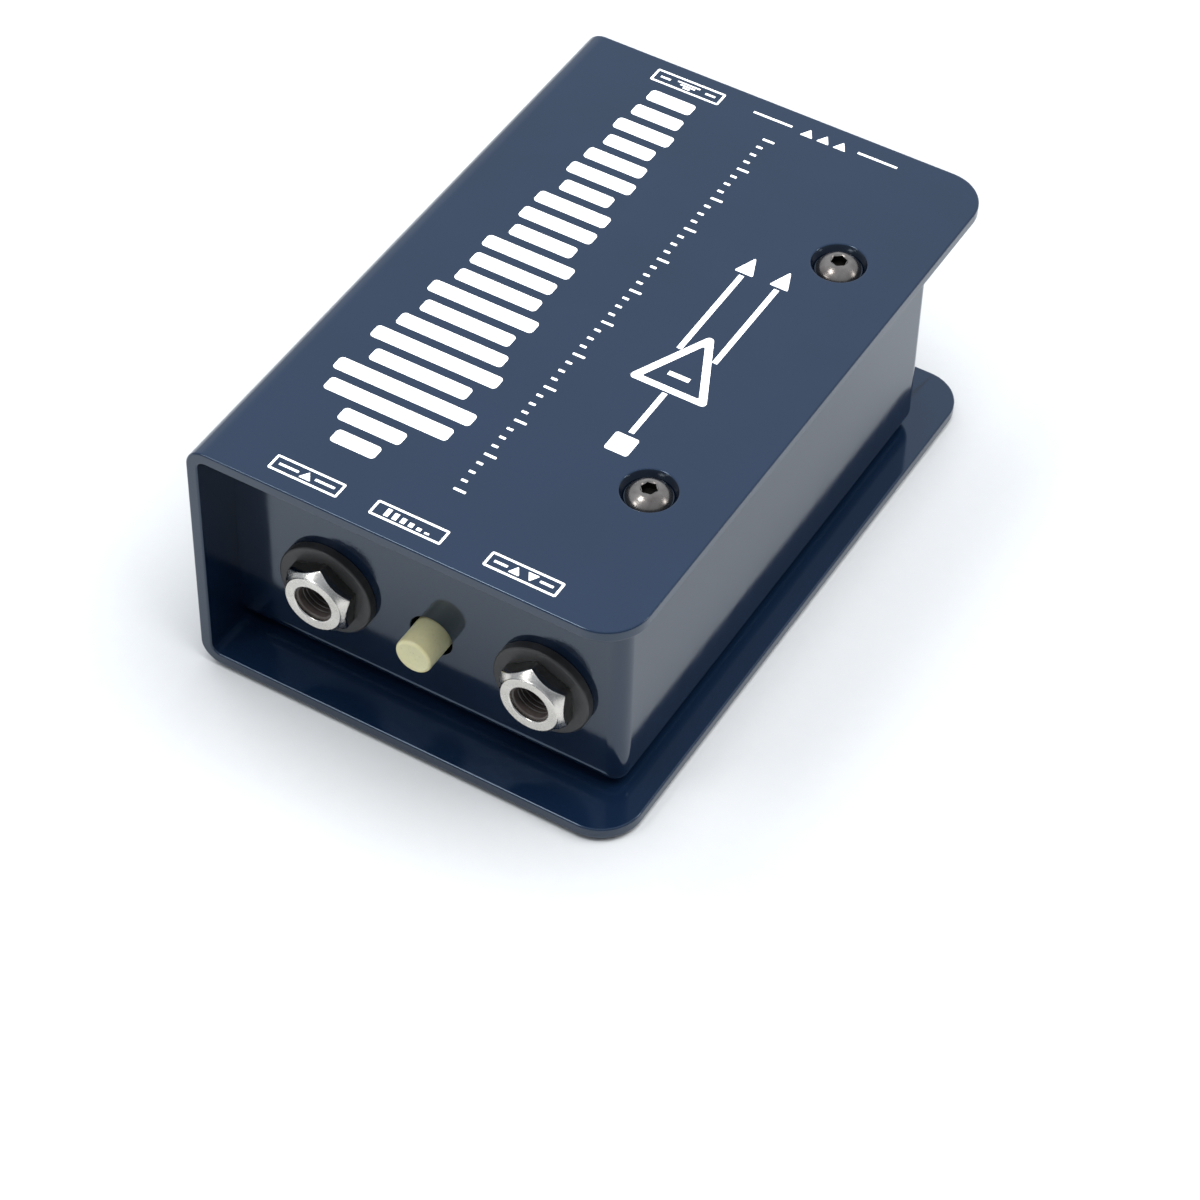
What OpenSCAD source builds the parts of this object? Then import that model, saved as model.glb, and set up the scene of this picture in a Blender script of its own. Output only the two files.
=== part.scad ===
// Direct injection box: a folded sheet-steel case with two front jacks, a front
// push switch, and a three-pin output connector and a push switch at the rear.
// X runs from the closed spine (-X) to the open side (+X), -Y is the jack side,
// +Z is up, and the origin is under the middle of the non-slip pad.

/* [Shell] */
// Overall width, spine to free plate edge
body_w = 83; // [82:0.5:88]
// Overall depth, front plate edge to rear plate edge
body_d = 127; // [124:0.5:132]
// Height of the folded shell, outside
shell_h = 50.5; // [49:0.5:54]
// Sheet thickness of the outer shell
sheet_t = 2.3; // [2:0.1:2.5]
// Outside radius of the two spine bends
bend_r = 4; // [3:0.5:6]
// Plan radius of the free plate corners
corner_r = 8; // [4:0.5:9]
// Thickness of the non-slip pad
pad_t = 0.8; // [0.6:0.1:2]
// Margin of the non-slip pad from the plate edges
pad_inset = 3; // [2:0.5:6]

/* [Chassis] */
// Sheet thickness of the inner chassis
wall_t = 1.6; // [1.2:0.1:2]
// Recess of the front wall behind the plate edges
front_gap = 9.4; // [9:0.1:11]
// Recess of the rear wall behind the plate edges
rear_gap = 12.4; // [11:0.1:13]
// Overhang of the plates past the side wall
side_gap = 5; // [4:0.5:6]
// Outside radius of the chassis wall bends
wall_r = 3; // [1.8:0.1:3.5]
// Outside radius of the bends to the chassis lips
lip_r = 4; // [3:0.1:4.5]
// Width of the lips at the front and rear wall
lip_w = 8; // [6:0.5:9]
// Width of the screw flanges along the side wall
flange_w = 14; // [13:0.5:16]

/* [Cover screws] */
// Distance of the cover screws from the body middle, across
screw_x = 27.5; // [27:0.1:28.5]
// Distance of the cover screws from the body middle, along
screw_y = 32.1; // [28:0.1:34]
// Radius of the screw recess at the plate surface
sink_r = 4.85; // [4.7:0.05:5.2]
// Radius of the screw recess at its floor
seat_r = 4.1; // [4:0.05:4.3]
// Depth of the screw recess
seat_d = 1.4; // [1:0.1:1.6]
// Radius of the screw head
head_r = 3.95; // [3.6:0.05:3.95]
// Height of the domed screw head
head_h = 2; // [1.8:0.1:2.2]
// Radius of the screw shank
shank_r = 1.98; // [1.9:0.01:1.99]
// Length of the screws under the head
screw_len = 5.6; // [5:0.1:6]

/* [Jacks] */
// Half the distance between the jack axes
jack_x = 21.1; // [20.5:0.1:21.5]
// Middle between the jack axes, across the body
jack_mid = 0.7; // [0:0.1:1]
// Height of the jack axes
jack_z = 22; // [21:0.1:22.5]
// Radius of the jack bore, for a 6.35 mm plug
plug_r = 3.25; // [3.23:0.01:3.4]
// Outside radius of the threaded bushing
bush_r = 4.75; // [4.5:0.05:5]
// Radius of the washer
washer_r = 9.15; // [8.5:0.05:9.5]
// Thickness of the washer
washer_t = 1.8; // [1.2:0.1:2]
// Nut size across flats
nut_af = 12.3; // [12:0.1:12.8]
// Nut thickness, with its front lip
nut_t = 3.7; // [3.2:0.1:4.2]
// Depth over which the nut's corners are turned back
nut_cone = 1.8; // [1.4:0.1:2]
// Thickness of the nut's front lip, which covers the bushing's end
lip_t = 0.6; // [0.4:0.1:1]
// Turn of the input nut about its axis
nut_a1 = 24; // [0:1:60]
// Turn of the thru nut about its axis
nut_a2 = 34; // [0:1:60]

/* [Push switches] */
// Radius of the button caps
cap_r = 3.5; // [3.4:0.05:4.1]
// How far the caps stand out of the wall
cap_out = 5.7; // [4.2:0.1:6]
// Travel of the buttons
travel = 2.6; // [2:0.1:2.8]
// Height of the button axes
push_z = 20.7; // [19.8:0.1:21]
// Front button position across the body
pad_x = -0.5; // [-1:0.1:0.5]
// Rear button position across the body
lift_x = -17.7; // [-18.5:0.1:-17]
// Radius of the plungers
plunger_r = 1.6; // [1.5:0.05:1.7]

/* [Output connector] */
// Connector position across the body
xlr_x = 10; // [9:0.5:11]
// Connector height
xlr_z = 25.5; // [25:0.5:27]
// Radius of the cup
cup_r = 9.5; // [9.4:0.05:9.7]
// Flange width
xlr_w = 26; // [25.5:0.5:27]
// Flange height
xlr_h = 31; // [30.5:0.5:32]

/* [Circuit] */
// Board thickness
pcb_t = 1.6; // [1.2:0.1:1.6]

/* [Hidden] */
$fn = 96;

xl = -body_w / 2;               // outside of the spine
xr = body_w / 2;                // free plate edges
yf = -body_d / 2;               // front plate edges
yb = body_d / 2;                // rear plate edges
z0 = pad_t;                     // underside of the shell
z1 = pad_t + shell_h;           // top of the shell
zi0 = z0 + sheet_t;             // inside of the bottom plate
zi1 = z1 - sheet_t;             // inside of the top plate
x_in = jack_mid - jack_x;       // input jack axis
x_thru = jack_mid + jack_x;     // thru jack axis
xs = xl + sheet_t;              // inside of the spine
xw = xr - side_gap;             // outside of the side wall
yfw = yf + front_gap;           // outside of the front wall
ybw = yb - rear_gap;            // outside of the rear wall
yfi = yfw + wall_t;             // inside of the front wall
ybi = ybw - wall_t;             // inside of the rear wall
pcb_z = jack_z - 10;            // top of the circuit board
pin_at = [[-3.5, 2.0], [3.5, 2.0], [0, -4.0]];   // connector pins about its axis
xlr_scr = [[-9.5, 12], [9.5, -12]];              // connector screws about its axis
term_y = ybw - 22.6;            // rear terminals of the connector
navy = "#22304f";

// A bar along Y with its profile in X and Z.
module along_y(y0, y1) { translate([0, y1, 0]) rotate([90, 0, 0]) linear_extrude(height = y1 - y0) children(); }
// Turns a piece made along +Z so that it points along -Y (front) at x, y, z.
module to_front(x, y, z) { translate([x, y, z]) rotate([90, 0, 0]) children(); }
// The same for a piece that points along +Y (rear).
module to_rear(x, y, z) { translate([x, y, z]) rotate([-90, 0, 0]) children(); }
module box(a, b) { translate(a) cube(b - a); }
// A block with rounded vertical edges between two corners.
module round_box(a, b, r) {
  box([a[0] + r, a[1], a[2]], [b[0] - r, b[1], b[2]]);
  box([a[0], a[1] + r, a[2]], [b[0], b[1] - r, b[2]]);
  for (x = [a[0] + r, b[0] - r], y = [a[1] + r, b[1] - r])
    translate([x, y, a[2]]) cylinder(r = r, h = b[2] - a[2]);
}
// Rounded rectangle with the corners of one side only (towards +X).
module u_plan(x0, x1, y0, y1, r) {
  translate([x0, y0]) square([x1 - r - x0, y1 - y0]);
  translate([x0, y0 + r]) square([x1 - x0, y1 - y0 - 2 * r]);
  for (y = [y0 + r, y1 - r]) translate([x1 - r, y]) circle(r = r);
}

// ---- case -------------------------------------------------------------

module c_profile(x0, x1, za, zb, r) {
  translate([x0 + r, za]) square([x1 - x0 - r, zb - za]);
  translate([x0, za + r]) square([x1 - x0, zb - za - 2 * r]);
  for (z = [za + r, zb - r]) translate([x0 + r, z]) circle(r = r);
}

// Flared recess for a screw head, with the screw's clearance hole.
module sink(x, y) {
  translate([x, y, z1 - seat_d]) cylinder(r1 = seat_r, r2 = sink_r, h = seat_d);
  translate([x, y, z1]) cylinder(r = sink_r, h = 1);
  translate([x, y, zi1 - 1]) cylinder(r = shank_r + 0.3, h = sheet_t);
}

module outer_shell() {
  color(navy) difference() {
    along_y(yf, yb) difference() {
      c_profile(xl, xr, z0, z1, bend_r);
      c_profile(xs, xr + 5, zi0, zi1, bend_r - sheet_t);
    }
    for (s = [-1, 1]) {
      translate([xr - corner_r, s * (yb - corner_r), 0]) difference() {
        translate([0, s > 0 ? 0 : -corner_r - 2, z0 - 1]) cube([corner_r + 2, corner_r + 2, shell_h + 2]);
        translate([0, 0, z0 - 2]) cylinder(r = corner_r, h = shell_h + 4);
      }
      sink(screw_x, s * screw_y);
      translate([0, 0, z0 + z1]) mirror([0, 0, 1]) sink(screw_x, s * screw_y);
    }
  }
}

// Round-cornered rectangle between two corners.
module r_rect(u0, u1, v0, v1, r) {
  translate([u0 + r, v0]) square([u1 - u0 - 2 * r, v1 - v0]);
  translate([u0, v0 + r]) square([u1 - u0, v1 - v0 - 2 * r]);
  for (u = [u0 + r, u1 - r], v = [v0 + r, v1 - r]) translate([u, v]) circle(r = r);
}

// The folded tray that the chassis follows, open to the spine at x0 and set in by o.
module tray(x0, o) {
  intersection() {
    translate([0, 0, zi0 + o]) linear_extrude(height = zi1 - zi0 - 2 * o) u_plan(x0, xw - o, yfw + o, ybw - o, wall_r - o);
    translate([x0 - 1, 0, 0]) rotate([90, 0, 90]) linear_extrude(height = xw - x0 + 2) r_rect(yfw + o, ybw - o, zi0 + o, zi1 - o, lip_r - o);
    along_y(yfw - 1, ybw + 1) r_rect(x0 - 12, xw - o, zi0 + o, zi1 - o, lip_r - o);
  }
}

module inner_chassis() {
  color(navy) difference() {
    intersection() {
      tray(xs, 0);
      along_y(yf, yb) c_profile(xs, xr, zi0, zi1, bend_r - sheet_t + 0.3);   // clears the spine's inner bends
    }
    tray(xs - 1, wall_t);
    box([xs - 1, yfw + lip_w, zi0 - 1], [xw - flange_w, ybw - lip_w, zi1 + 1]);
    for (x = [x_in, x_thru]) to_front(x, yfi + 1, jack_z) cylinder(r = bush_r + 0.2, h = wall_t + 2);
    to_front(pad_x, yfi + 1, push_z) cylinder(r = cap_r + 0.6, h = wall_t + 2);
    to_rear(lift_x, ybi - 1, push_z) cylinder(r = cap_r + 0.6, h = wall_t + 2);
    to_rear(xlr_x, ybi - 1, xlr_z) cylinder(r = 12, h = wall_t + 2);
    for (p = xlr_scr) to_rear(xlr_x + p[0], ybi - 1, xlr_z + p[1]) cylinder(r = 1.5, h = wall_t + 2);
    for (s = [-1, 1]) translate([screw_x, s * screw_y, zi0 - 1]) cylinder(r = 2.7, h = zi1 - zi0 + 2);
  }
}

// Button-head screw with a hexagon socket, head up, underside of the head at z = 0.
rim_h = 0.25;                                   // straight rim under the dome
dome_top = 1.9;                                 // radius of the flat on the dome
dome_c = (pow(dome_top, 2) + pow(head_h, 2) - pow(head_r, 2) - pow(rim_h, 2)) / 2 / (head_h - rim_h);
dome_r = sqrt(pow(head_r, 2) + pow(rim_h - dome_c, 2));
module button_screw() {
  difference() {
    union() {
      rotate_extrude() intersection() { translate([0, dome_c]) circle(r = dome_r); square([head_r, head_h]); }
      translate([0, 0, -screw_len]) cylinder(r = shank_r, h = screw_len + 0.2);
    }
    translate([0, 0, head_h - 1.3]) cylinder(r = 2.5 / 2 / cos(30), h = 2, $fn = 6);
  }
}
module cover_screw(s) { translate([screw_x, s * screw_y, z1 - seat_d]) button_screw(); }

module top_cover_screws() { color("#8f8d8a") for (s = [-1, 1]) cover_screw(s); }
module bottom_cover_screws() {
  color("#8f8d8a") for (s = [-1, 1]) translate([0, 0, z0 + z1]) mirror([0, 0, 1]) cover_screw(s);
}

module clinch_nut() {
  difference() {
    union() { cylinder(r = 3.6, h = 2.4); translate([0, 0, 2.4]) cylinder(r = 3.1, h = 0.7); }
    translate([0, 0, -1]) cylinder(r = 2, h = 6);
  }
}
module clinch_nuts() {
  color("silver") for (s = [-1, 1]) {
    translate([screw_x, s * screw_y, zi0 + wall_t]) clinch_nut();
    translate([screw_x, s * screw_y, zi1 - wall_t]) mirror([0, 0, 1]) clinch_nut();
  }
}

module bottom_pad() {
  color("#1b1b1c") difference() {
    round_box([xl + pad_inset, yf + pad_inset, 0], [xr - pad_inset, yb - pad_inset, pad_t], 6);
    for (s = [-1, 1]) translate([screw_x, s * screw_y, -1]) cylinder(r = sink_r + 0.6, h = pad_t + 2);
  }
}

// ---- jacks ------------------------------------------------------------

bush_f = 1.5;                                   // flange behind the wall
bush_len = wall_t + washer_t + nut_t - lip_t - 0.05;   // barrel from the flange to the mouth
nut_face_r = 5.3;                               // front ring of the nut

module jack_body(x) {
  color("#151516") difference() {
    union() {
      box([x - 7.75, yfi + bush_f, pcb_z], [x + 7.75, yfi + 25.5, jack_z + 7.5]);
      for (s = [-1, 1]) box([x + s * 8.05 - 0.3, yfi + 8, pcb_z], [x + s * 8.05 + 0.3, yfi + 20, jack_z + 3]);
    }
    to_front(x, yfi + 24, jack_z) cylinder(r = plug_r + 0.95, h = 30);
    box([x - 1.1, yfi + 19, jack_z + 3.8], [x + 1.1, yfi + 30, jack_z + 4.5]);
    for (s = [-1, 1]) box([x + s * 5.6 - 1, yfi + 4, jack_z + 6.3], [x + s * 5.6 + 1, yfi + 22, jack_z + 9]);
  }
}

module jack_bushing(x) {
  color("#1a1a1b") to_front(x, yfi, jack_z) difference() {
    union() {
      translate([0, 0, -bush_f]) cylinder(r = 7, h = bush_f);
      cylinder(r = bush_r, h = bush_len);
    }
    translate([0, 0, -bush_f - 1]) cylinder(r = plug_r, h = bush_len + bush_f + 2);
    translate([0, 0, bush_len - 0.3]) cylinder(r1 = plug_r, r2 = plug_r + 0.3, h = 0.3);
  }
}

module jack_washer(x) {
  color("#2a2a2b") to_front(x, yfw, jack_z) difference() {
    union() {
      cylinder(r = washer_r, h = washer_t - 0.35);
      translate([0, 0, washer_t - 0.35]) cylinder(r1 = washer_r, r2 = washer_r - 0.35, h = 0.35);
    }
    translate([0, 0, -1]) cylinder(r = bush_r + 0.1, h = washer_t + 2);
  }
}

// Hexagon nut whose corners are turned back to a round front ring.
module jack_nut(x, a) {
  rc = nut_af / 2 / cos(30);
  slope = (rc - nut_face_r) / nut_cone;
  color("#e6e4df") to_front(x, yfw - washer_t, jack_z) difference() {
    intersection() {
      rotate([0, 0, a]) cylinder(r = rc, h = nut_t, $fn = 6);
      translate([0, 0, -3]) cylinder(r1 = nut_face_r + slope * (nut_t + 3), r2 = nut_face_r, h = nut_t + 3);
    }
    translate([0, 0, -1]) cylinder(r = bush_r + 0.02, h = nut_t - lip_t + 1);
    translate([0, 0, -1]) cylinder(r = plug_r + 0.37, h = nut_t + 2);
  }
}

module tip_contact(x) {
  color("#b9b6ae") {
    box([x - 1, yfi + 25.5, pcb_z - pcb_t - 1], [x + 1, yfi + 26, jack_z + 4.4]);
    box([x - 1, yfi + 20, jack_z + 3.9], [x + 1, yfi + 25.6, jack_z + 4.4]);
  }
}

module input_jack_body() { jack_body(x_in); }
module input_jack_bushing() { jack_bushing(x_in); }
module input_jack_washer() { jack_washer(x_in); }
module input_jack_nut() { jack_nut(x_in, nut_a1); }
module input_tip_contact() { tip_contact(x_in); }
module thru_jack_body() { jack_body(x_thru); }
module thru_jack_bushing() { jack_bushing(x_thru); }
module thru_jack_washer() { jack_washer(x_thru); }
module thru_jack_nut() { jack_nut(x_thru, nut_a2); }
module thru_tip_contact() { tip_contact(x_thru); }

// ---- push switches ----------------------------------------------------
// Each is made along +Z, with z = 0 on the inner face of the wall and the
// button standing out towards +Z.

cap_back = -4;                  // rear end of the cap
sw_front = -10.4;               // front of the switch body
cap_tip = wall_t + cap_out;

module cap() {
  difference() {
    union() {
      translate([0, 0, cap_back]) cylinder(r = cap_r, h = cap_tip - 0.5 - cap_back);
      translate([0, 0, cap_tip - 0.5]) rotate_extrude() {
        square([cap_r - 0.5, 0.5]);
        intersection() { translate([cap_r - 0.5, 0]) circle(r = 0.5); square([cap_r, 0.5]); }
      }
    }
    translate([0, 0, cap_back - 1]) cylinder(r = plunger_r, h = 8);
    translate([0, 0, cap_tip + 13.8]) sphere(r = 14);
  }
}
module plunger() { translate([0, 0, -20.4]) cylinder(r = plunger_r, h = 20.4 + cap_back + 7); }
module switch_body() {
  difference() {
    union() {
      translate([-5.5, pcb_z - push_z, -28.4]) cube([11, 5.4 + push_z - pcb_z, 28.4 + sw_front]);
      translate([0, 0, sw_front - 1]) cylinder(r = 2.15, h = 2);
    }
    translate([0, 0, -25]) cylinder(r = plunger_r + 0.06, h = 40);
    for (s = [-1, 1]) translate([s * 5.5 - 0.4, -6, -24]) cube([0.8, 8, 9]);
  }
}

// Coil of round wire about the Z axis between two heights.
function ring_pt(p, t, r, n, k) = [for (j = [0:n - 1]) let (a = 360 * j / n)
  [p[0] + r * cos(a) * cos(t), p[1] + r * cos(a) * sin(t), p[2] + r * sin(a)]];
module coil(rm, rw, za, zb, turns) {
  n = 8; m = turns * 20;
  pts = [for (i = [0:m]) let (t = 360 * turns * i / m)
    each ring_pt([rm * cos(t), rm * sin(t), za + (zb - za) * i / m], t, rw, n, 0)];
  sides = [for (i = [0:m - 1], j = [0:n - 1]) [i * n + j, i * n + (j + 1) % n, (i + 1) * n + (j + 1) % n, (i + 1) * n + j]];
  polyhedron(points = pts, faces = concat(
    [for (f = sides) each [[f[0], f[2], f[1]], [f[0], f[3], f[2]]]],
    [[for (j = [0:n - 1]) j]], [[for (j = [0:n - 1]) m * n + n - 1 - j]]), convexity = 10);
}
module spring() { coil(2.75, 0.25, sw_front + 0.3, cap_back - 0.3, 5); }

module at_pad() { translate([pad_x, yfi, push_z]) rotate([90, 0, 0]) children(); }
module at_lift() { translate([lift_x, ybi, push_z]) rotate([0, 0, 180]) rotate([90, 0, 0]) children(); }

module pad_button() { color("#d9d3b0") at_pad() cap(); }
module pad_switch_plunger() { color("#c9c9c4") at_pad() plunger(); }
module pad_switch_spring() { color("silver") at_pad() spring(); }
module pad_switch_body() { color("#30343a") at_pad() switch_body(); }
module lift_button() { color("#d9d3b0") at_lift() cap(); }
module lift_switch_plunger() { color("#c9c9c4") at_lift() plunger(); }
module lift_switch_spring() { color("silver") at_lift() spring(); }
module lift_switch_body() { color("#30343a") at_lift() switch_body(); }

// ---- output connector -------------------------------------------------

module xlr_shell() {
  color("#1d1d1f") difference() {
    union() {
      translate([0, ybw + 2, 0]) rotate([90, 0, 0]) linear_extrude(height = 2) {
        translate([xlr_x - xlr_w / 2 + 3, xlr_z - xlr_h / 2]) square([xlr_w - 6, xlr_h]);
        translate([xlr_x - xlr_w / 2, xlr_z - xlr_h / 2 + 3]) square([xlr_w, xlr_h - 6]);
        for (sx = [-1, 1], sz = [-1, 1])
          translate([xlr_x + sx * (xlr_w / 2 - 3), xlr_z + sz * (xlr_h / 2 - 3)]) circle(r = 3);
      }
      to_rear(xlr_x, ybw - 18, xlr_z) cylinder(r = 11.8, h = 18.5);
      to_rear(xlr_x, ybw + 1.5, xlr_z) cylinder(r = 11.2, h = 1.6);
      to_rear(xlr_x, ybw + 3.1, xlr_z) cylinder(r1 = 11.2, r2 = 10.6, h = 0.6);
    }
    to_rear(xlr_x, ybw - 12.5, xlr_z) cylinder(r = cup_r, h = 30);
    to_rear(xlr_x, ybw + 3.2, xlr_z) cylinder(r1 = cup_r, r2 = cup_r + 0.6, h = 0.6);
    to_rear(xlr_x, ybw - 30, xlr_z) cylinder(r = 10.2, h = 17.5);
    for (p = xlr_scr) {
      to_rear(xlr_x + p[0], ybw - 1, xlr_z + p[1]) cylinder(r = 1.6, h = 5);
      to_rear(xlr_x + p[0], ybw + 0.6, xlr_z + p[1]) cylinder(r1 = 1.6, r2 = 3, h = 1.4);
    }
  }
}

module xlr_insert() {
  color("#141415") difference() {
    to_rear(xlr_x, ybw - 21, xlr_z) cylinder(r = 10.2, h = 8.5);
    for (p = pin_at) to_rear(xlr_x + p[0], ybw - 25, xlr_z + p[1]) cylinder(r = 1.2, h = 20);
  }
}

module xlr_pins() {
  color("#cfc9b8") for (p = pin_at) to_rear(xlr_x + p[0], ybw - 21, xlr_z + p[1]) {
    cylinder(r = 1.2, h = 21.3);
    translate([0, 0, 21.3]) sphere(r = 1.2);
  }
}

module xlr_terminals() {
  color("#cfc9b8") for (p = pin_at)
    box([xlr_x + p[0] - 0.5, term_y + 0.8, pcb_z - pcb_t - 1], [xlr_x + p[0] + 0.5, ybw - 21, xlr_z + p[1] + 0.5]);
}

module xlr_screws() {
  color("#2b2b2d") for (p = xlr_scr) to_rear(xlr_x + p[0], ybw, xlr_z + p[1]) difference() {
    union() {
      translate([0, 0, -5]) cylinder(r = 1.45, h = 5.8);
      translate([0, 0, 0.75]) cylinder(r1 = 1.72, r2 = 2.9, h = 1.18);
    }
    translate([-2.1, -0.3, 1.3]) cube([4.2, 0.6, 2]);
    translate([-0.3, -2.1, 1.3]) cube([0.6, 4.2, 2]);
  }
}

// ---- circuit ----------------------------------------------------------

module circuit_board() {
  color("#1f5a35") difference() {
    box([xs + 1, yfi + 1, pcb_z - pcb_t], [xw - wall_t - 1.2, ybi - 1, pcb_z]);
    for (x = [x_in, x_thru]) box([x - 1.1, yfi + 25.4, 0], [x + 1.1, yfi + 26.1, 40]);
    for (p = pin_at) box([xlr_x + p[0] - 0.6, term_y + 0.7, 0], [xlr_x + p[0] + 0.6, ybw - 20.9, 40]);
    for (x = [xs + 4, xw - wall_t - 4.2], y = [yfi + 4, ybi - 4]) translate([x, y, 0]) cylinder(r = 1.6, h = 40);
  }
}

elco_at = [[-31, -14], [-20, -14], [-10, -14], [26, -14], [-31, 12]];
film_at = [[3, -13], [15, -13], [-30, 0]];
chip_at = [[-14, 2], [2, 2]];

module electrolytic_capacitors() {
  color("#2b3a55") for (p = elco_at) translate([p[0], p[1], pcb_z]) difference() {
    union() {
      cylinder(r = 4, h = 11.5);
      for (z = [0, 11]) translate([0, 0, z]) cylinder(r = 4.1, h = 0.5);
    }
    translate([0, 0, 11.5]) for (a = [0, 90]) rotate([0, 0, a]) cube([6, 0.3, 0.6], center = true);
  }
}
module film_capacitors() {
  color("#b3282d") for (p = film_at) translate([p[0], p[1], pcb_z]) round_box([-5, -2.5, 0], [5, 2.5, 9], 0.6);
}
module amplifier_chips() {
  color("#202022") for (p = chip_at) translate([p[0], p[1], pcb_z]) {
    difference() {
      translate([-4.9, -3.2, 0.5]) cube([9.8, 6.4, 3.3]);
      translate([-4.9, 0, 3.3]) cylinder(r = 0.8, h = 2);
    }
    for (i = [-1.5:1:1.5], s = [-1, 1])
      translate([i * 2.54 - 0.4, s * 3.45 - 0.25, 0]) cube([0.8, 0.5, 2.4]);
  }
}
module resistors() {
  color("#4a7fb5") for (i = [0:5]) translate([-9 + i * 3.4, 14, pcb_z]) {
    translate([0, -3.2, 1.25]) rotate([-90, 0, 0]) cylinder(r = 1.15, h = 6.4);
    for (s = [-1, 1]) {
      translate([0, s * 4.1, 1.25]) rotate([90, 0, 0]) cylinder(r = 0.3, h = 2.2, center = true);
      translate([0, s * 5, 0]) cylinder(r = 0.3, h = 1.55);
    }
  }
}
module power_inductor() {
  color("#3b3a38") translate([22, 7, pcb_z]) rotate_extrude()
    polygon([[0, 0], [6, 0], [6, 1.4], [4.4, 1.4], [4.4, 5.6], [6, 5.6], [6, 7], [0, 7]]);
}

outer_shell();
inner_chassis();
top_cover_screws();
bottom_cover_screws();
clinch_nuts();
bottom_pad();
input_jack_body();
input_jack_bushing();
input_jack_washer();
input_jack_nut();
input_tip_contact();
thru_jack_body();
thru_jack_bushing();
thru_jack_washer();
thru_jack_nut();
thru_tip_contact();
pad_button();
pad_switch_plunger();
pad_switch_spring();
pad_switch_body();
lift_button();
lift_switch_plunger();
lift_switch_spring();
lift_switch_body();
xlr_shell();
xlr_insert();
xlr_pins();
xlr_terminals();
xlr_screws();
circuit_board();
electrolytic_capacitors();
film_capacitors();
amplifier_chips();
resistors();
power_inductor();
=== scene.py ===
import math

import bmesh
import bpy
from mathutils import Matrix, Vector


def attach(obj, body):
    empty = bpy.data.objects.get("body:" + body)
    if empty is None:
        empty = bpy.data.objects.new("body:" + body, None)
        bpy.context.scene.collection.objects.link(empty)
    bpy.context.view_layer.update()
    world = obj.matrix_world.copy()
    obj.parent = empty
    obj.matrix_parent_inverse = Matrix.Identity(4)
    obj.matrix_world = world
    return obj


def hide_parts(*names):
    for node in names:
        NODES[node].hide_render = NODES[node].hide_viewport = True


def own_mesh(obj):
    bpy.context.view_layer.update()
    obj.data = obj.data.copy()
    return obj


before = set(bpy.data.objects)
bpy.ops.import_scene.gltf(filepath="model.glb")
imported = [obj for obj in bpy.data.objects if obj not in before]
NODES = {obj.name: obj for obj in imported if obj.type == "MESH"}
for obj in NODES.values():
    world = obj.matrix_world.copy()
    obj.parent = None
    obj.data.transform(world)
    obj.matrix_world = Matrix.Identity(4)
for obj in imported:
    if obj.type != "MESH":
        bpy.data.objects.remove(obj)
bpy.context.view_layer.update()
MM = 0.001

# ---------------------------------------------------------------------------
# Dimensions in millimetres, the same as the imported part's.
# ---------------------------------------------------------------------------
XL, XR, YF, YB = -41.5, 41.5, -63.5, 63.5
Z0, Z1 = 0.8, 51.3
INK = 0.03                      # ink stands this far above the enamel
SHEET, BEND, CORNER = 2.3, 4.0, 8.0
ZI0, ZI1 = Z0 + SHEET, Z1 - SHEET
XS, XW = XL + SHEET, 36.5
WALL, WALL_R, LIP_R, LIP_W, FLANGE_W = 1.6, 3.0, 4.0, 8.0, 14.0
YFW, YBW = -54.1, 51.1
YFI, YBI = -52.5, 49.5
SCREW_X, SCREW_Y, SINK_R, SEAT_R, SEAT_D = 27.5, 32.1, 4.85, 4.1, 1.4
HEAD_R, HEAD_H, SHANK_R, SCREW_LEN = 3.95, 2.0, 1.98, 5.6
JACK_X = {"input": -20.4, "thru": 21.8}
JACK_Z, PUSH_Z = 22.0, 20.7
PLUG_R, BUSH_R = 3.25, 4.75
WASHER_R, WASHER_T = 9.15, 1.8
NUT_AF, NUT_T, NUT_CONE, LIP_T, NUT_FACE_R = 12.3, 3.7, 1.8, 0.6, 5.3
NUT_TURN = {"input": 24.0, "thru": 34.0}
CAP_R, CAP_OUT, TRAVEL = 3.5, 5.7, 2.6
PAD_X, LIFT_X = -0.5, -17.7
XLR_X, XLR_Z, CUP_R, XLR_W, XLR_H = 10.0, 25.5, 9.5, 26.0, 31.0
PINS = ((-3.5, 2.0), (3.5, 2.0), (0.0, -4.0))
XLR_SCREWS = ((-9.5, 12.0), (9.5, -12.0))

# ---------------------------------------------------------------------------
# Mesh tools. Pieces are made in millimetres and scaled once, at the end.
# ---------------------------------------------------------------------------


def raw(name, verts, faces):
    """A mesh object in millimetres with its faces turned outwards."""
    me = bpy.data.meshes.new(name)
    me.from_pydata([tuple(v) for v in verts], [], [tuple(f) for f in faces])
    ob = bpy.data.objects.new(name, me)
    bpy.context.scene.collection.objects.link(ob)
    bm = bmesh.new()
    bm.from_mesh(me)
    bmesh.ops.remove_doubles(bm, verts=bm.verts[:], dist=1e-5)
    bmesh.ops.recalc_face_normals(bm, faces=bm.faces[:])
    bm.to_mesh(me)
    bm.free()
    return ob


def settle(ob):
    """Applies the modifiers of an object to its mesh."""
    bpy.context.view_layer.update()
    dg = bpy.context.evaluated_depsgraph_get()
    me = bpy.data.meshes.new_from_object(ob.evaluated_get(dg), preserve_all_data_layers=True, depsgraph=dg)
    ob.modifiers.clear()
    old = ob.data
    ob.data = me
    me.name = ob.name
    bpy.data.meshes.remove(old)
    return ob


def boolean(ob, others, how):
    """Cuts the others out of an object, or joins them to it, and removes them."""
    for other in others:
        m = ob.modifiers.new("b", "BOOLEAN")
        m.operation = how
        m.solver = "EXACT"
        m.object = other
        settle(ob)
        me = other.data
        bpy.data.objects.remove(other)
        bpy.data.meshes.remove(me)
    return ob


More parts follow.
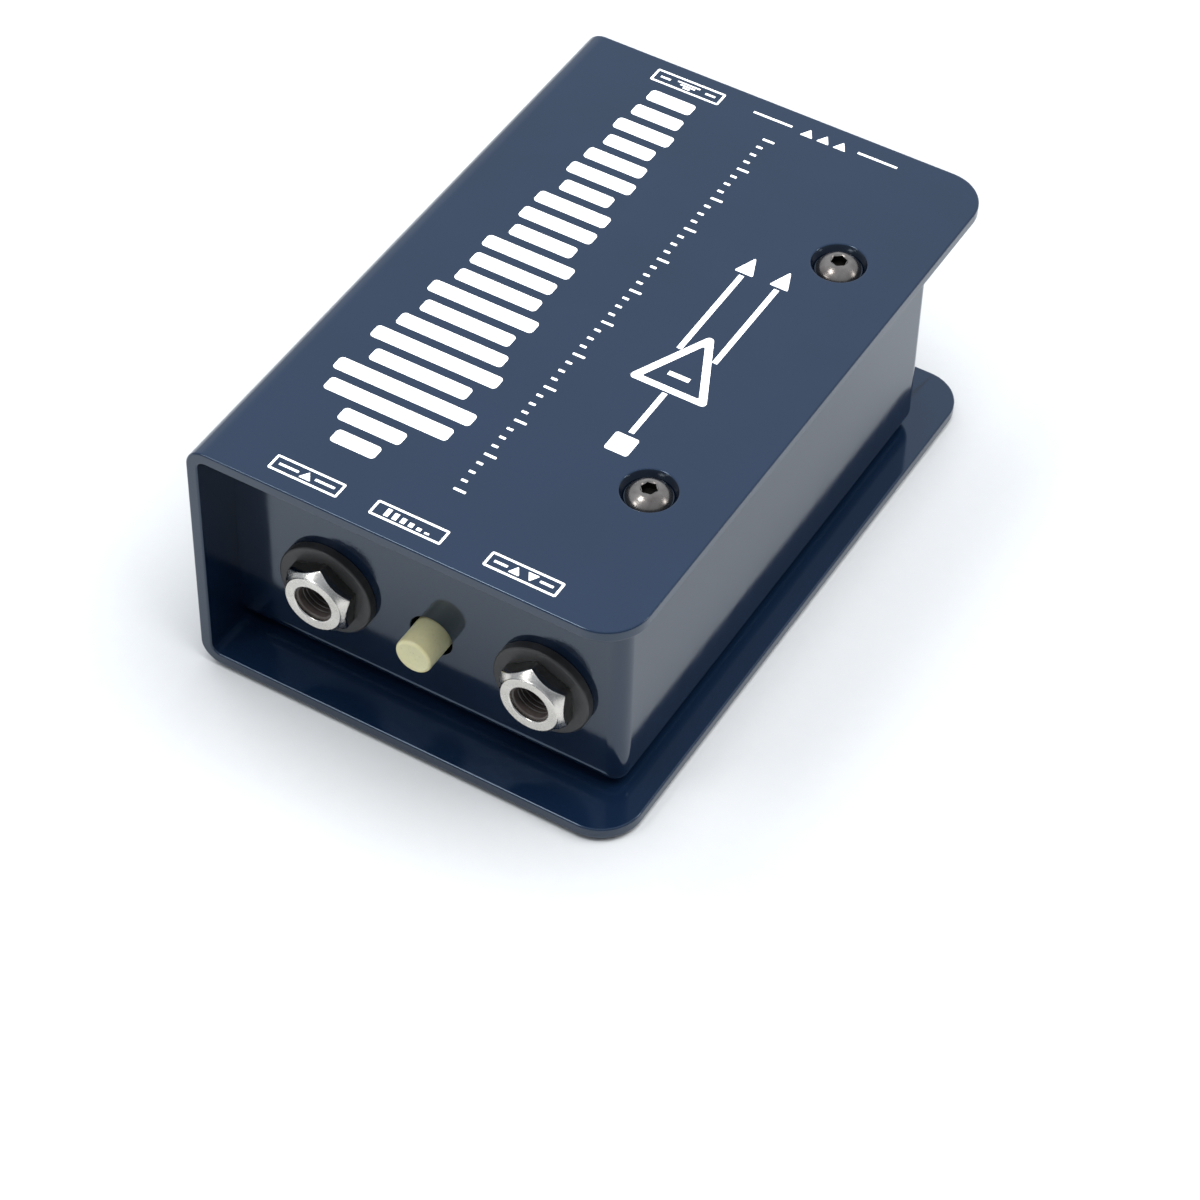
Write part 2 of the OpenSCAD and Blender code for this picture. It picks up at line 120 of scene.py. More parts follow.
def cut(ob, *others):
    return boolean(ob, others, "DIFFERENCE")


def unite(ob, *others):
    return boolean(ob, others, "UNION")


def done(ob, mats, body="case", replaces=(), sharp=38.0):
    """Smooth shading with true flats, real scale, materials, and the body it rides on."""
    me = ob.data
    bm = bmesh.new()
    bm.from_mesh(me)
    bmesh.ops.remove_doubles(bm, verts=bm.verts[:], dist=2e-5)
    bmesh.ops.dissolve_degenerate(bm, edges=bm.edges[:], dist=1e-5)
    bmesh.ops.recalc_face_normals(bm, faces=bm.faces[:])
    for f in bm.faces:
        f.smooth = True
    limit = math.radians(sharp)
    for e in bm.edges:
        e.smooth = not (len(e.link_faces) == 2 and e.calc_face_angle(0.0) > limit)
    bm.to_mesh(me)
    bm.free()
    m = ob.modifiers.new("n", "WEIGHTED_NORMAL")
    m.mode = "FACE_AREA"
    m.weight = 100
    m.keep_sharp = True
    settle(ob)
    ob.data.transform(Matrix.Scale(MM, 4))
    index = [p.material_index for p in ob.data.polygons]
    ob.data.materials.clear()
    for mat in mats:
        ob.data.materials.append(mat)
    for p, i in zip(ob.data.polygons, index):
        p.material_index = min(i, len(mats) - 1)
    ob.data.update()
    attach(ob, body)
    if replaces:
        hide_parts(*replaces)
    return ob


def fillet(pts, seg=4):
    """Rounds a closed outline: each point is (x, y) or (x, y, radius)."""
    out, n = [], len(pts)
    for i, q in enumerate(pts):
        r = q[2] if len(q) > 2 else 0.0
        p = Vector(q[:2])
        if r <= 0:
            out.append((p.x, p.y))
            continue
        u = (Vector(pts[i - 1][:2]) - p).normalized()
        v = (Vector(pts[(i + 1) % n][:2]) - p).normalized()
        half = u.angle(v) / 2
        c = p + (u + v).normalized() * (r / math.sin(half))
        s, e = p + u * (r / math.tan(half)), p + v * (r / math.tan(half))
        a0, a1 = math.atan2(s.y - c.y, s.x - c.x), math.atan2(e.y - c.y, e.x - c.x)
        d = (a1 - a0 + math.pi) % (2 * math.pi) - math.pi
        out += [(c.x + r * math.cos(a0 + d * k / seg), c.y + r * math.sin(a0 + d * k / seg)) for k in range(seg + 1)]
    return out


def lathe(profile, n=96):
    """Turns a closed outline of (radius, height) about the Z axis."""
    verts, rings, faces = [], [], []
    for r, h in profile:
        if r < 1e-6:
            rings.append([len(verts)])
            verts.append((0.0, 0.0, h))
        else:
            rings.append(list(range(len(verts), len(verts) + n)))
            verts += [(r * math.cos(2 * math.pi * k / n), r * math.sin(2 * math.pi * k / n), h) for k in range(n)]
    for i, a in enumerate(rings):
        b = rings[(i + 1) % len(rings)]
        if len(a) == 1 and len(b) == 1:
            continue
        for k in range(n):
            j = (k + 1) % n
            if len(a) == 1:
                faces.append((a[0], b[k], b[j]))
            elif len(b) == 1:
                faces.append((a[k], b[0], a[j]))
            else:
                faces.append((a[k], b[k], b[j], a[j]))
    return verts, faces


def front(verts, x, y, z):
    """Local +Z points out of the front (-Y)."""
    return [(x + a, y - c, z + b) for a, b, c in verts]


def rear(verts, x, y, z):
    """Local +Z points out of the rear (+Y), turned about Z, not mirrored."""
    return [(x - a, y + c, z + b) for a, b, c in verts]


def at(verts, x, y, z, flip=False):
    """Local +Z points up, or down when flipped."""
    return [(x + a, y - b, z - c) if flip else (x + a, y + b, z + c) for a, b, c in verts]


def rrect(x0, x1, y0, y1, r, seg=8):
    return fillet([(x0, y0, r), (x1, y0, r), (x1, y1, r), (x0, y1, r)], seg)


def slab(outline, d0, d1, bevel=0.0, seg=3):
    """A flat sheet with that outline between two depths, its rim rounded. Rim faces take material 1."""
    bm = bmesh.new()
    a = [bm.verts.new((x, y, d0)) for x, y in outline]
    b = [bm.verts.new((x, y, d1)) for x, y in outline]
    n = len(outline)
    bm.faces.new(a[::-1])
    bm.faces.new(b)
    for i in range(n):
        bm.faces.new((a[i], a[(i + 1) % n], b[(i + 1) % n], b[i])).material_index = 1
    bmesh.ops.recalc_face_normals(bm, faces=bm.faces[:])
    if bevel > 0:
        rim = [e for e in bm.edges if abs(e.verts[0].co.z - e.verts[1].co.z) < 1e-9]
        made = bmesh.ops.bevel(bm, geom=rim, offset=bevel, offset_type="OFFSET", segments=seg, profile=0.5, affect="EDGES", clamp_overlap=True)
        for f in made["faces"]:
            f.material_index = 1
    return bm


def bisect(bm, places, axis=0):
    no = [0, 0, 0]
    no[axis] = 1
    for s in places:
        co = [0, 0, 0]
        co[axis] = s
        bmesh.ops.bisect_plane(bm, geom=bm.verts[:] + bm.edges[:] + bm.faces[:], dist=1e-5, plane_co=co, plane_no=no)


def object_of(bm, name):
    me = bpy.data.meshes.new(name)
    bmesh.ops.recalc_face_normals(bm, faces=bm.faces[:])
    bm.to_mesh(me)
    bm.free()
    ob = bpy.data.objects.new(name, me)
    bpy.context.scene.collection.objects.link(ob)
    return ob


def hexagon(af, h0, h1, n=6):
    r = af / 2 / math.cos(math.pi / n)
    ring = [(r * math.cos(2 * math.pi * k / n), r * math.sin(2 * math.pi * k / n)) for k in range(n)]
    verts = [(x, y, h0) for x, y in ring] + [(x, y, h1) for x, y in ring]
    faces = [tuple(range(n))[::-1], tuple(range(n, 2 * n))] + [(k, (k + 1) % n, n + (k + 1) % n, n + k) for k in range(n)]
    return verts, faces


# ---------------------------------------------------------------------------
# Materials. Every one varies over the surface, in the part's own space.
# ---------------------------------------------------------------------------


class Nodes:
    """A small builder for one material's node tree."""

    def __init__(self, name):
        self.mat = bpy.data.materials.new(name)
        self.mat.use_nodes = True
        self.tree = self.mat.node_tree
        self.bsdf = next(n for n in self.tree.nodes if n.type == "BSDF_PRINCIPLED")
        self.space = self.tree.nodes.new("ShaderNodeTexCoord").outputs["Object"]

    def new(self, kind, **sockets):
        n = self.tree.nodes.new(kind)
        for k, v in sockets.items():
            n.inputs[k.replace("_", " ")].default_value = v
        return n

    def link(self, a, b):
        self.tree.links.new(a, b)

    def moved(self, loc=(0, 0, 0), scale=(1, 1, 1)):
        m = self.new("ShaderNodeMapping")
        m.inputs["Location"].default_value = loc
        m.inputs["Scale"].default_value = scale
        self.link(self.space, m.inputs["Vector"])
        return m.outputs["Vector"]

    def noise(self, scale, detail=2.0, rough=0.5, vector=None, distortion=0.0):
        n = self.new("ShaderNodeTexNoise", Scale=scale, Detail=detail, Roughness=rough, Distortion=distortion)
        self.link(vector or self.space, n.inputs["Vector"])
        return n.outputs["Fac"]

    def voronoi(self, scale, feature="F1", vector=None):
        n = self.new("ShaderNodeTexVoronoi", Scale=scale)
        n.feature = feature
        self.link(vector or self.space, n.inputs["Vector"])
        return n.outputs["Distance"]

    def wave(self, scale, kind="BANDS", direction="X", distortion=0.0, detail=2.0, vector=None):
        n = self.new("ShaderNodeTexWave", Scale=scale, Distortion=distortion, Detail=detail)
        n.wave_type = kind
        if kind == "BANDS":
            n.bands_direction = direction
        else:
            n.rings_direction = direction
        self.link(vector or self.space, n.inputs["Vector"])
        return n.outputs["Fac"]

    def ramp(self, fac, stops):
        n = self.new("ShaderNodeValToRGB")
        els = n.color_ramp.elements
        while len(els) < len(stops):
            els.new(0.5)
        for e, (pos, col) in zip(els, stops):
            e.position = pos
            e.color = (*col, 1.0) if len(col) == 3 else col
        self.link(fac, n.inputs["Fac"])
        return n.outputs["Color"]

    def span(self, fac, lo, hi, a=0.3, b=0.7):
        n = self.new("ShaderNodeMapRange")
        n.inputs["From Min"].default_value = a
        n.inputs["From Max"].default_value = b
        n.inputs["To Min"].default_value = lo
        n.inputs["To Max"].default_value = hi
        self.link(fac, n.inputs["Value"])
        return n.outputs["Result"]

    def mix(self, fac, a, b, how="MIX"):
        n = self.tree.nodes.new("ShaderNodeMix")
        n.data_type = "RGBA"
        n.blend_type = how
        self.link(fac, n.inputs[0]) if not isinstance(fac, float) else setattr(n.inputs[0], "default_value", fac)
        for v, s in ((a, n.inputs[6]), (b, n.inputs[7])):
            if isinstance(v, tuple):
                s.default_value = (*v, 1.0)
            else:
                self.link(v, s)
        return n.outputs[2]

    def add(self, a, b, wa=1.0, wb=1.0):
        m1, m2 = self.tree.nodes.new("ShaderNodeMath"), self.tree.nodes.new("ShaderNodeMath")
        m1.operation = "MULTIPLY"
        m1.inputs[1].default_value = wa
        self.link(a, m1.inputs[0])
        m2.operation = "MULTIPLY_ADD"
        m2.inputs[1].default_value = wb
        self.link(b, m2.inputs[0])
        self.link(m1.outputs[0], m2.inputs[2])
        return m2.outputs[0]

    def bump(self, height, distance, strength=1.0):
        n = self.new("ShaderNodeBump", Strength=strength, Distance=distance)
        self.link(height, n.inputs["Height"])
        self.link(n.outputs["Normal"], self.bsdf.inputs["Normal"])

    def colour(self, out):
        self.link(out, self.bsdf.inputs["Base Color"])

    def rough(self, out):
        self.link(out, self.bsdf.inputs["Roughness"])

    def set(self, **kw):
        for k, v in kw.items():
            self.bsdf.inputs[k.replace("_", " ")].default_value = v
        return self


def enamel(name, worn=False, depth=1.0):
    """Gloss baked enamel: faint orange peel, cloudy tone, a touch paler where it thins on the rims; depth below 1
    darkens all the colours, which is used as painted shade.
    """
    m = Nodes(name).set(IOR=1.68, Specular_Tint=(0.675, 0.825, 1.0, 1.0))
    cloud = m.noise(38.0, 3.0, 0.55)
    grit = m.noise(2600.0, 2.0, 0.6)
    tone = m.add(cloud, grit, 0.8, 0.2)
    tones = ((0.30, (0.0028, 0.0081, 0.0215)), (0.52, (0.0031, 0.0090, 0.0238)), (0.74, (0.0036, 0.0101, 0.0263)))
    col = m.ramp(tone, [(at_, tuple(c * depth for c in rgb)) for at_, rgb in tones])
    if worn:
        rub = m.noise(240.0, 4.0, 0.6)
        mask = m.span(rub, 0.0, 0.22, 0.58, 0.76)
        col = m.mix(mask, col, (0.016, 0.024, 0.040))
        m.rough(m.span(rub, 0.11, 0.17))
    else:
        m.rough(m.span(m.noise(160.0, 3.0, 0.6), 0.085, 0.130))
    m.colour(col)
    peel = m.add(m.noise(620.0, 2.0, 0.45), m.noise(95.0, 1.0, 0.5), 1.0, 1.6)
    m.bump(peel, 0.0000045)
    return m.mat


def ink():
    m = Nodes("white_ink").set(IOR=1.46)
    g = m.noise(1500.0, 3.0, 0.6)
    m.colour(m.ramp(g, [(0.28, (0.80, 0.81, 0.82)), (0.55, (0.89, 0.89, 0.885)), (0.8, (0.93, 0.93, 0.92))]))
    m.rough(m.span(g, 0.32, 0.5))
    m.bump(m.noise(2200.0, 2.0, 0.5), 0.000006)
    return m.mat


def metal(name, dark, light, r0, r1, centre=None, axis="Y", pitch=0.0003, grain=900.0, depth=0.000004):
    """Bare or plated metal, with turning marks about an axis when a centre is given."""
    m = Nodes(name).set(Metallic=1.0)
    tarnish = m.noise(260.0, 4.0, 0.6)
    m.colour(m.ramp(tarnish, [(0.25, dark), (0.6, light), (0.85, tuple(min(1.0, c * 1.04) for c in light))]))
    fine = m.noise(grain, 3.0, 0.6)
    m.rough(m.span(fine, r0, r1))
    if centre is None:
        m.bump(fine, depth)
    else:
        rings = m.wave(math.pi / (10.0 * pitch), "RINGS", axis, 0.6, 2.0, m.moved(tuple(-c for c in centre)))
        m.bump(m.add(rings, fine, 0.6, 0.5), depth)
    return m.mat


def plastic(name, dark, light, r0, r1, grain=1400.0, depth=0.000008, sub=0.0, radius=(0.001, 0.001, 0.001), ior=1.49):
    """Moulded plastic: fine spark-eroded grain and a little unevenness of colour."""
    m = Nodes(name).set(IOR=ior)
    if sub > 0:
        m.set(Subsurface_Weight=sub, Subsurface_Scale=1.0, Subsurface_Radius=radius)
    flow = m.noise(180.0, 3.0, 0.55)
    fine = m.noise(grain, 3.0, 0.6)
    m.colour(m.ramp(m.add(flow, fine, 0.7, 0.3), [(0.28, dark), (0.72, light)]))
    m.rough(m.span(fine, r0, r1))
    m.bump(fine, depth)
    return m.mat


def rubber():
    m = Nodes("pad_rubber").set(IOR=1.5)
    cell = m.voronoi(1300.0)
    dust = m.noise(70.0, 4.0, 0.6)
    m.colour(m.ramp(m.add(dust, cell, 0.7, 0.5), [(0.25, (0.014, 0.014, 0.015)), (0.6, (0.024, 0.024, 0.025)), (0.95, (0.042, 0.041, 0.040))]))
    m.rough(m.span(dust, 0.62, 0.8))
    m.bump(cell, 0.00006)
    return m.mat


def solder_mask():
    """Green board: tracks show as raised lines under the mask."""
    m = Nodes("circuit_board").set(IOR=1.5)
    tracks = m.new("ShaderNodeTexBrick", Scale=1.0)
    tracks.inputs["Mortar Size"].default_value = 0.0009
    tracks.inputs["Brick Width"].default_value = 0.0105
    tracks.inputs["Row Height"].default_value = 0.0042
    tracks.inputs["Color1"].default_value = (0, 0, 0, 1)
    tracks.inputs["Color2"].default_value = (0.12, 0.12, 0.12, 1)
    tracks.inputs["Mortar"].default_value = (1, 1, 1, 1)
    m.link(m.space, tracks.inputs["Vector"])
    cloth = m.noise(1500.0, 2.0, 0.5)
    green = m.ramp(cloth, [(0.3, (0.010, 0.060, 0.026)), (0.7, (0.016, 0.085, 0.036))])
    m.colour(m.mix(tracks.outputs["Color"], green, (0.035, 0.165, 0.07)))
    m.rough(m.span(cloth, 0.25, 0.4))
    m.bump(tracks.outputs["Color"], 0.00003)
    return m.mat


def banded(name, base, alt, axis, scale, r0, r1):
    """Lacquered or sleeved round parts with plain colour bands."""
    m = Nodes(name).set(IOR=1.5)
    bands = m.wave(scale, "BANDS", axis, 0.0, 0.0)
    fine = m.noise(900.0, 3.0, 0.6)
    shade = m.ramp(fine, [(0.3, tuple(c * 0.85 for c in base)), (0.7, base)])
    m.colour(m.mix(m.span(bands, 0.0, 1.0, 0.80, 0.84), shade, alt))
    m.rough(m.span(fine, r0, r1))
    m.bump(fine, 0.000006)
    return m.mat


ENAMEL = enamel("navy_enamel")
ENAMEL_RIM = enamel("navy_enamel_rim", worn=True)
# darker copy of the enamel, painted shade for the screw recesses
ENAMEL_PAINTED_SHADE = enamel("navy_enamel_painted_shade", depth=0.3)
WHITE_INK = ink()
NICKEL = {
    jack: metal("nickel_" + jack, (0.535, 0.513, 0.478), (0.668, 0.642, 0.600), 0.20, 0.32, (x * MM, 0, JACK_Z * MM))
    for jack, x in JACK_X.items()
}
# darker copy of the nickel for the nut flats: painted shade
NICKEL_FLATS_PAINTED_SHADE = metal("nickel_flats_painted_shade", (0.13, 0.127, 0.123), (0.25, 0.244, 0.237), 0.10, 0.18, depth=0.000001)
BUSHING_PLASTIC = plastic("bushing_plastic", (0.046, 0.037, 0.034), (0.088, 0.072, 0.064), 0.34, 0.50)
SCREW_STEEL = metal("screw_steel", (0.155, 0.136, 0.122), (0.315, 0.287, 0.262), 0.18, 0.32, depth=0.000004)
# near-black copy of the screw steel for the socket: painted shade
SOCKET_PAINTED_SHADE = metal("socket_painted_shade", (0.010, 0.009, 0.008), (0.030, 0.027, 0.024), 0.45, 0.70, depth=0.000006)
ZINC = metal("zinc_steel", (0.42, 0.42, 0.41), (0.62, 0.62, 0.60), 0.3, 0.5)
SPRING_STEEL = metal("spring_steel", (0.45, 0.45, 0.45), (0.66, 0.66, 0.65), 0.22, 0.38)
CONTACT = metal("contact_metal", (0.55, 0.50, 0.40), (0.78, 0.73, 0.62), 0.18, 0.34)
BLACK_METAL = plastic("black_metal", (0.014, 0.014, 0.015), (0.024, 0.024, 0.026), 0.30, 0.45, grain=1100.0, depth=0.00001)
BLACK_SCREW = metal("black_screw", (0.05, 0.05, 0.052), (0.10, 0.10, 0.105), 0.28, 0.42)
BLACK_PLASTIC = plastic("black_plastic", (0.012, 0.011, 0.011), (0.021, 0.020, 0.020), 0.32, 0.48)
WASHER_PLASTIC = plastic("washer_fibre", (0.020, 0.020, 0.020), (0.036, 0.036, 0.035), 0.34, 0.50, grain=900.0, depth=0.000014)
IVORY = plastic("ivory_plastic", (0.543, 0.509, 0.291), (0.660, 0.630, 0.378), 0.26, 0.40, grain=1800.0, depth=0.000005, sub=0.35, radius=(0.0016, 0.0012, 0.0006))
GREY_PLASTIC = plastic("grey_plastic", (0.46, 0.46, 0.44), (0.58, 0.58, 0.56), 0.35, 0.5)
SWITCH_PLASTIC = plastic("switch_plastic", (0.032, 0.038, 0.045), (0.06, 0.068, 0.078), 0.38, 0.55)
CHIP = plastic("chip_plastic", (0.016, 0.016, 0.017), (0.028, 0.028, 0.03), 0.45, 0.6, grain=2400.0)
FILM_CAP = plastic("film_capacitor", (0.34, 0.028, 0.028), (0.50, 0.05, 0.045), 0.2, 0.34, grain=700.0, depth=0.00002)
FERRITE = plastic("ferrite", (0.03, 0.03, 0.03), (0.065, 0.063, 0.06), 0.55, 0.75, grain=2600.0, depth=0.00003)
ELCO = banded("capacitor_sleeve", (0.03, 0.045, 0.10), (0.30, 0.33, 0.40), "X", 31.0, 0.22, 0.36)
RESISTOR = banded("resistor_lacquer", (0.10, 0.26, 0.46), (0.34, 0.09, 0.03), "Y", 180.0, 0.24, 0.4)
RUBBER = rubber()
BOARD = solder_mask()

# ---------------------------------------------------------------------------
# The camera, where the photograph was taken from.
# ---------------------------------------------------------------------------
cam_data = bpy.data.cameras.new("camera")
cam_data.sensor_width = 36.0
cam_data.lens = 111.653
cam_data.clip_start = 0.01
cam_data.clip_end = 50.0
camera = bpy.data.objects.new("camera", cam_data)
bpy.context.scene.collection.objects.link(camera)
right, up, back = Vector((0.858047, 0.513204, 0.019447)), Vector((-0.387903, 0.622804, 0.679446)), Vector((0.336582, -0.59054, 0.733468))
camera.matrix_world = Matrix((
    (right.x, up.x, back.x, 228.843 * MM),
    (right.y, up.y, back.y, -400.276 * MM),
    (right.z, up.z, back.z, 477.739 * MM),
    (0, 0, 0, 1)))
bpy.context.scene.camera = camera

# ---------------------------------------------------------------------------
# Outer shell: one sheet with rounded rim, folded twice round the spine.
# ---------------------------------------------------------------------------
TOP = Z1 - INK                  # painted surface of the top plate
FLAT = XR - (XL + BEND)         # flat length of each plate
ARC = math.pi / 2 * BEND
SPINE = TOP - Z0 - 2 * BEND


def fold(s, y, d):
    """From the flat sheet (run, width, depth below the outer face) to the folded shell."""
    cx = XL + BEND
    if s <= FLAT:
        return XR - s, y, TOP - d
    s -= FLAT
    if s <= ARC:
        a = s / BEND
        return cx - (BEND - d) * math.sin(a), y, TOP - BEND + (BEND - d) * math.cos(a)
    s -= ARC
    if s <= SPINE:
        return XL + d, y, TOP - BEND - s
    s -= SPINE
    if s <= ARC:
        a = s / BEND
        return cx - (BEND - d) * math.cos(a), y, Z0 + BEND - (BEND - d) * math.sin(a)
    return cx + s - ARC, y, Z0 + d


def sink_cutter():
    """Flared recess with a softly rounded lip and the screw's clearance hole, its plate surface at height 0."""
    slope, lip = math.atan2(SEAT_D, SINK_R + 0.1 - SEAT_R), 0.4
    mid = SEAT_R + (SEAT_D - lip * (1 - math.cos(slope))) / math.tan(slope) + lip * math.sin(slope)
    turn = [slope + (0.10 - slope) * k / 9 for k in range(10)]
    profile = [(0, -6.0), (SHANK_R + 0.3, -6.0), (SHANK_R + 0.3, -SEAT_D), (SEAT_R, -SEAT_D)]
    profile += [(mid - lip * math.sin(a), -lip * (1 - math.cos(a))) for a in turn]
    return lathe(profile + [(mid + 0.10, 0.012), (mid + 0.10, 2.0), (0, 2.0)], 96)


length = 2 * FLAT + 2 * ARC + SPINE
bm = slab(rrect(0, length, YF, YB, CORNER, 18), 0.0, SHEET, 0.4, 4)
bends = []
for s0 in (FLAT, FLAT + ARC + SPINE):
    bends += [s0 + ARC * k / 14 for k in range(15)]
bisect(bm, bends)
for v in bm.verts:
    v.co = fold(*v.co)
shell = object_of(bm, "outer_shell_sheet")
sinks = []
for sy in (-1, 1):
    for flip in (False, True):
        v, f = sink_cutter()
        sinks.append(raw("sink", at(v, SCREW_X, sy * SCREW_Y, Z0 if flip else TOP, flip), f))
cut(shell, *sinks)
for poly in shell.data.polygons:                   # the recesses below their lips get the darker copy of the enamel: painted shade
    c = poly.center
    if math.hypot(c.x - SCREW_X, abs(c.y) - SCREW_Y) < SINK_R and min(TOP - c.z, c.z - Z0) > 0.16:
        poly.material_index = 2
done(shell, [ENAMEL, ENAMEL_RIM, ENAMEL_PAINTED_SHADE], "case", ["outer_shell"])

# ---------------------------------------------------------------------------
# Inner chassis: front, side and rear wall in one bent strip, with lips bent inwards above and below.
# ---------------------------------------------------------------------------
SEAM = 0.05


def chassis_mesh(steps=8):
    """The wall's section, with its bends and lips, swept round the two corners."""
    zb, zt, e = ZI0 + SEAM, ZI1 - INK - SEAM, 0.3
    section = fillet([(LIP_W, zb, e), (0.0, zb, LIP_R), (0.0, zt, LIP_R), (LIP_W, zt, e),
                      (LIP_W, zt - WALL, e), (WALL, zt - WALL, LIP_R - WALL), (WALL, zb + WALL, LIP_R - WALL), (LIP_W, zb + WALL, e)], 12)

    def path(d, z):
        """Plan line at a depth behind the outer face; the lip is wider along the side, and the ends clear the spine's bends."""
        side = d if d <= LIP_R else LIP_R + (d - LIP_R) * (FLANGE_W - LIP_R) / (LIP_W - LIP_R)
        r = max(WALL_R - d, 0.0)
        b = BEND - SHEET + 0.3
        near = max(b - min(z - ZI0, ZI1 - z), 0.0)
        start = XS + 0.02 + b - math.sqrt(b * b - near * near)
        pts = [(start, YFW + d)]
        for cy, a0 in ((YFW + WALL_R, -90.0), (YBW - WALL_R, 0.0)):
            for k in range(steps + 1):
                a = math.radians(a0 + 90.0 * k / steps)
                if d < WALL_R:
                    pts.append((XW - WALL_R + r * math.cos(a), cy + r * math.sin(a)))
                else:
                    pts.append((XW - side, YFW + d if a0 < -1 else YBW - d))
        return pts + [(start, YBW - d)]

    rows = [[(x, y, z) for x, y in path(d, z)] for d, z in section]
    n, m = len(rows[0]), len(rows)
    verts = [v for row in rows for v in row]
    faces = [(i * n + k, i * n + k + 1, ((i + 1) % m) * n + k + 1, ((i + 1) % m) * n + k) for i in range(m) for k in range(n - 1)]
    faces += [tuple(i * n for i in range(m)), tuple(i * n + n - 1 for i in range(m))[::-1]]
    return verts, faces


def bore(r, lip=0.22, deep=4.0):
    """A through hole with a rounded lip, the wall's outer face at height 0."""
    profile = [(0, -deep), (r, -deep), (r, -lip)]
    profile += [(r + lip - lip * math.cos(math.radians(a)), -lip + lip * math.sin(math.radians(a))) for a in (22, 45, 66)]
    profile += [(r + lip * 1.15, 0.02), (r + lip * 1.15, 2.0), (0, 2.0)]
    return lathe(profile, 96)


v, f = chassis_mesh()
chassis = raw("chassis_walls", v, f)
holes = []
for x in JACK_X.values():
    v, f = bore(BUSH_R + 0.2)
    holes.append(raw("hole", front(v, x, YFW, JACK_Z), f))
v, f = bore(CAP_R + 0.6)
holes.append(raw("hole", front(v, PAD_X, YFW, PUSH_Z), f))
holes.append(raw("hole", rear(v, LIFT_X, YBW, PUSH_Z), f))
v, f = bore(12.0)
holes.append(raw("hole", rear(v, XLR_X, YBW, XLR_Z), f))
for px, pz in XLR_SCREWS:
    v, f = bore(1.5, 0.1)
    holes.append(raw("hole", rear(v, XLR_X + px, YBW, XLR_Z + pz), f))
for sy in (-1, 1):
    for z, flip in ((ZI0, True), (ZI1, False)):
        v, f = bore(2.7, 0.15, 3.0)
        holes.append(raw("hole", at(v, SCREW_X, sy * SCREW_Y, z, flip), f))
cut(chassis, *holes)
done(chassis, [ENAMEL], "case", ["inner_chassis"])

# ---------------------------------------------------------------------------
# Cover screws: button heads with a hexagon socket.
# ---------------------------------------------------------------------------
def screw_mesh():
    """Button head with a small flat on its dome and a shallow thread, underside of the head at height 0."""
    flat, rim = 1.9, 0.25
    c = (flat ** 2 + HEAD_H ** 2 - HEAD_R ** 2 - rim ** 2) / 2 / (HEAD_H - rim)
    r = math.hypot(HEAD_R, rim - c)
    a0, a1 = math.asin(flat / r) + 0.03, math.asin(HEAD_R / r)
    profile = [(0, HEAD_H), (flat - 0.13, HEAD_H)]
    profile += [(r * math.sin(a0 + (a1 - a0) * k / 16), c + r * math.cos(a0 + (a1 - a0) * k / 16)) for k in range(17)]
    profile += [(HEAD_R, 0.08), (HEAD_R - 0.06, 0.0), (SHANK_R + 0.12, 0.0), (SHANK_R, -0.12)]
    z = -0.3
    while z > 0.8 - SCREW_LEN:                     # thread form
        profile += [(1.97, z), (1.97, z - 0.12), (1.72, z - 0.32), (1.72, z - 0.40)]
        z -= 0.6
    return lathe(profile + [(1.5, -SCREW_LEN), (0, -SCREW_LEN)], 72)


for name, top in (("top_cover_screws", True), ("bottom_cover_screws", False)):
    parts = []
    for sy in (-1, 1):
        v, f = screw_mesh()
        seat = (TOP - SEAT_D) if top else (Z0 + SEAT_D)
        tip = seat + (HEAD_H if top else -HEAD_H)
        ob = raw("screw", at(v, SCREW_X, sy * SCREW_Y, seat, not top), f)
        hv, hf = hexagon(2.5, HEAD_H - 1.3, HEAD_H + 1.0)
        a = math.radians(11.0 if sy < 0 else 37.0)
        hv = [(x * math.cos(a) - y * math.sin(a), x * math.sin(a) + y * math.cos(a), z) for x, y, z in hv]
        key = raw("key", at(hv, SCREW_X, sy * SCREW_Y, seat, not top), hf)
        rim = lathe([(0, HEAD_H - 0.16), (1.36, HEAD_H - 0.16), (1.66, HEAD_H + 0.10), (1.66, HEAD_H + 1.0), (0, HEAD_H + 1.0)], 48)
        edge = raw("edge", at(rim[0], SCREW_X, sy * SCREW_Y, seat, not top), rim[1])
        cut(ob, key, edge)
        for poly in ob.data.polygons:              # inside of the socket gets the near-black copy of the steel: painted shade
            c = poly.center
            if math.hypot(c.x - SCREW_X, c.y - sy * SCREW_Y) < 1.4 and 0.2 < abs(c.z - tip) < 1.5:
                poly.material_index = 1
        parts.append(ob)
    bm = bmesh.new()
    for ob in parts:
        bm.from_mesh(ob.data)
        me = ob.data
        bpy.data.objects.remove(ob)
        bpy.data.meshes.remove(me)
    done(object_of(bm, name.replace("screws", "screw_pair")), [SCREW_STEEL, SOCKET_PAINTED_SHADE], "case", [name], 30.0)

# ---------------------------------------------------------------------------
# Non-slip pad.
# ---------------------------------------------------------------------------
bm = slab(rrect(XL + 3.0, XR - 3.0, YF + 3.0, YB - 3.0, 6.0, 14), 0.0, 0.8 - 0.01, 0.22, 3)
pad = object_of(bm, "non_slip_pad")
holes = []
for sy in (-1, 1):
    v, f = lathe([(0, -2), (SINK_R + 0.6, -2), (SINK_R + 0.6, 2), (0, 2)], 72)
    holes.append(raw("hole", at(v, SCREW_X, sy * SCREW_Y, 0), f))
cut(pad, *holes)
done(pad, [RUBBER], "case", ["bottom_pad"])

# ---------------------------------------------------------------------------
# Jacks: washer, nut and bushing of each.
# ---------------------------------------------------------------------------


